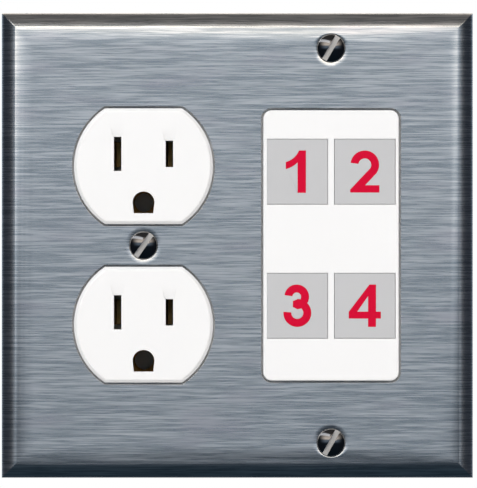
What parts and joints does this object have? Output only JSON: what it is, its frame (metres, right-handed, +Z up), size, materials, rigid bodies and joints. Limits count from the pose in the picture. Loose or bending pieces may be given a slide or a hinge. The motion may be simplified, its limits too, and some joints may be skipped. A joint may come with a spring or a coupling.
{
  "type": "duplex wall outlet with port insert",
  "caption": "Wall outlet assembly: grounded duplex receptacle and a snap-in port insert side by side behind a brushed stainless cover plate.",
  "frame": {"origin": "on the finished wall surface, at the centre of the box screws, midway between the gangs", "axes": "+X right and +Z up as seen from the room, +Y into the wall; the face looks along -Y"},
  "size_m": [0.116, 0.029, 0.1142],
  "materials": {
    "stainless": "horizontal brushed grain",
    "polished_steel": "polished",
    "face_plastic": "semi-gloss white",
    "base_plastic": "matt, off-white",
    "zinc_steel": "bright zinc",
    "contact_brass": "bright, slightly stained",
    "nickel_plate": "nickel",
    "green_plate": "green chromate",
    "retainer_card": "pressed fibre",
    "blank_plastic": "satin light grey",
    "numeral_red": "satin crimson"
  },
  "bodies": {
    "devices": {"receptacle_face": "face_plastic", "receptacle_base": "base_plastic", "mounting_strap": "zinc_steel", "hot_bus": "contact_brass", "neutral_bus": "contact_brass", "ground_contact_upper": "contact_brass", "ground_contact_lower": "contact_brass", "ground_rivets": "contact_brass", "assembly_screws": "zinc_steel", "screw_retainers": "retainer_card", "port_frame": "face_plastic"},
    "cover_plate": {"wall_plate": "stainless"},
    "plate_screw_center": {"plate_screw_center": "polished_steel"},
    "plate_screw_top": {"plate_screw_top": "polished_steel"},
    "plate_screw_bottom": {"plate_screw_bottom": "polished_steel"},
    "box_screw_receptacle_top": {"box_screw_receptacle_top": "zinc_steel"},
    "box_screw_receptacle_bottom": {"box_screw_receptacle_bottom": "zinc_steel"},
    "box_screw_insert_top": {"box_screw_insert_top": "zinc_steel"},
    "box_screw_insert_bottom": {"box_screw_insert_bottom": "zinc_steel"},
    "wire_clamp_hot_upper": {"wire_clamp_hot_upper": "contact_brass"},
    "terminal_screw_hot_upper": {"terminal_screw_hot_upper": "contact_brass"},
    "wire_clamp_hot_lower": {"wire_clamp_hot_lower": "contact_brass"},
    "terminal_screw_hot_lower": {"terminal_screw_hot_lower": "contact_brass"},
    "wire_clamp_neutral_upper": {"wire_clamp_neutral_upper": "nickel_plate"},
    "terminal_screw_neutral_upper": {"terminal_screw_neutral_upper": "nickel_plate"},
    "wire_clamp_neutral_lower": {"wire_clamp_neutral_lower": "nickel_plate"},
    "terminal_screw_neutral_lower": {"terminal_screw_neutral_lower": "nickel_plate"},
    "wire_clamp_ground": {"wire_clamp_ground": "zinc_steel"},
    "terminal_screw_ground": {"terminal_screw_ground": "green_plate"},
    "port_blank_1": {"port_blank_1": "blank_plastic", "port_numeral_1": "numeral_red"},
    "port_blank_2": {"port_blank_2": "blank_plastic", "port_numeral_2": "numeral_red"},
    "port_blank_3": {"port_blank_3": "blank_plastic", "port_numeral_3": "numeral_red"},
    "port_blank_4": {"port_blank_4": "blank_plastic", "port_numeral_4": "numeral_red"}
  },
  "joints": [
    {"name": "cover_plate_lift", "type": "slide", "parent": "devices", "child": "cover_plate", "axis": [0, -1, 0], "range_m": [0, 0.025]},
    {"name": "plate_screw_center_turn", "type": "hinge", "parent": "cover_plate", "child": "plate_screw_center", "pos_m": [-0.02302, 0, 0], "axis": [0, -1, 0], "continuous": true},
    {"name": "plate_screw_top_turn", "type": "hinge", "parent": "cover_plate", "child": "plate_screw_top", "pos_m": [0.02302, 0, 0.04842], "axis": [0, -1, 0], "continuous": true},
    {"name": "plate_screw_bottom_turn", "type": "hinge", "parent": "cover_plate", "child": "plate_screw_bottom", "pos_m": [0.02302, 0, -0.04842], "axis": [0, -1, 0], "continuous": true},
    {"name": "box_screw_receptacle_top_turn", "type": "hinge", "parent": "devices", "child": "box_screw_receptacle_top", "pos_m": [-0.02302, 0, 0.04167], "axis": [0, -1, 0], "continuous": true},
    {"name": "box_screw_receptacle_bottom_turn", "type": "hinge", "parent": "devices", "child": "box_screw_receptacle_bottom", "pos_m": [-0.02302, 0, -0.04167], "axis": [0, -1, 0], "continuous": true},
    {"name": "box_screw_insert_top_turn", "type": "hinge", "parent": "devices", "child": "box_screw_insert_top", "pos_m": [0.02302, 0, 0.04167], "axis": [0, -1, 0], "continuous": true},
    {"name": "box_screw_insert_bottom_turn", "type": "hinge", "parent": "devices", "child": "box_screw_insert_bottom", "pos_m": [0.02302, 0, -0.04167], "axis": [0, -1, 0], "continuous": true},
    {"name": "wire_clamp_hot_upper_slide", "type": "slide", "parent": "devices", "child": "wire_clamp_hot_upper", "axis": [1, 0, 0], "range_m": [0, 0.0026]},
    {"name": "terminal_screw_hot_upper_turn", "type": "hinge", "parent": "wire_clamp_hot_upper", "child": "terminal_screw_hot_upper", "pos_m": [-0.00702, 0.0081, 0.0095], "axis": [1, 0, 0], "range_deg": [0, 1180]},
    {"name": "wire_clamp_hot_lower_slide", "type": "slide", "parent": "devices", "child": "wire_clamp_hot_lower", "axis": [1, 0, 0], "range_m": [0, 0.0026]},
    {"name": "terminal_screw_hot_lower_turn", "type": "hinge", "parent": "wire_clamp_hot_lower", "child": "terminal_screw_hot_lower", "pos_m": [-0.00702, 0.0081, -0.0095], "axis": [1, 0, 0], "range_deg": [0, 1180]},
    {"name": "wire_clamp_neutral_upper_slide", "type": "slide", "parent": "devices", "child": "wire_clamp_neutral_upper", "axis": [-1, 0, 0], "range_m": [0, 0.0026]},
    {"name": "terminal_screw_neutral_upper_turn", "type": "hinge", "parent": "wire_clamp_neutral_upper", "child": "terminal_screw_neutral_upper", "pos_m": [-0.03902, 0.0081, 0.0095], "axis": [-1, 0, 0], "range_deg": [0, 1180]},
    {"name": "wire_clamp_neutral_lower_slide", "type": "slide", "parent": "devices", "child": "wire_clamp_neutral_lower", "axis": [-1, 0, 0], "range_m": [0, 0.0026]},
    {"name": "terminal_screw_neutral_lower_turn", "type": "hinge", "parent": "wire_clamp_neutral_lower", "child": "terminal_screw_neutral_lower", "pos_m": [-0.03902, 0.0081, -0.0095], "axis": [-1, 0, 0], "range_deg": [0, 1180]},
    {"name": "wire_clamp_ground_slide", "type": "slide", "parent": "devices", "child": "wire_clamp_ground", "axis": [-1, 0, 0], "range_m": [0, 0.0026]},
    {"name": "terminal_screw_ground_turn", "type": "hinge", "parent": "wire_clamp_ground", "child": "terminal_screw_ground", "pos_m": [-0.03902, 0.0056, -0.0297], "axis": [-1, 0, 0], "range_deg": [0, 1180]},
    {"name": "port_blank_1_slide", "type": "slide", "parent": "devices", "child": "port_blank_1", "axis": [0, 1, 0], "range_m": [0, 0.01]},
    {"name": "port_blank_2_slide", "type": "slide", "parent": "devices", "child": "port_blank_2", "axis": [0, 1, 0], "range_m": [0, 0.01]},
    {"name": "port_blank_3_slide", "type": "slide", "parent": "devices", "child": "port_blank_3", "axis": [0, 1, 0], "range_m": [0, 0.01]},
    {"name": "port_blank_4_slide", "type": "slide", "parent": "devices", "child": "port_blank_4", "axis": [0, 1, 0], "range_m": [0, 0.01]}
  ],
  "couplings": [
    {"joint": "terminal_screw_hot_upper_turn", "follows": "wire_clamp_hot_upper_slide", "rad_per_m": 7913.3},
    {"joint": "terminal_screw_hot_lower_turn", "follows": "wire_clamp_hot_lower_slide", "rad_per_m": 7913.3},
    {"joint": "terminal_screw_neutral_upper_turn", "follows": "wire_clamp_neutral_upper_slide", "rad_per_m": 7913.3},
    {"joint": "terminal_screw_neutral_lower_turn", "follows": "wire_clamp_neutral_lower_slide", "rad_per_m": 7913.3},
    {"joint": "terminal_screw_ground_turn", "follows": "wire_clamp_ground_slide", "rad_per_m": 7913.3}
  ]
}
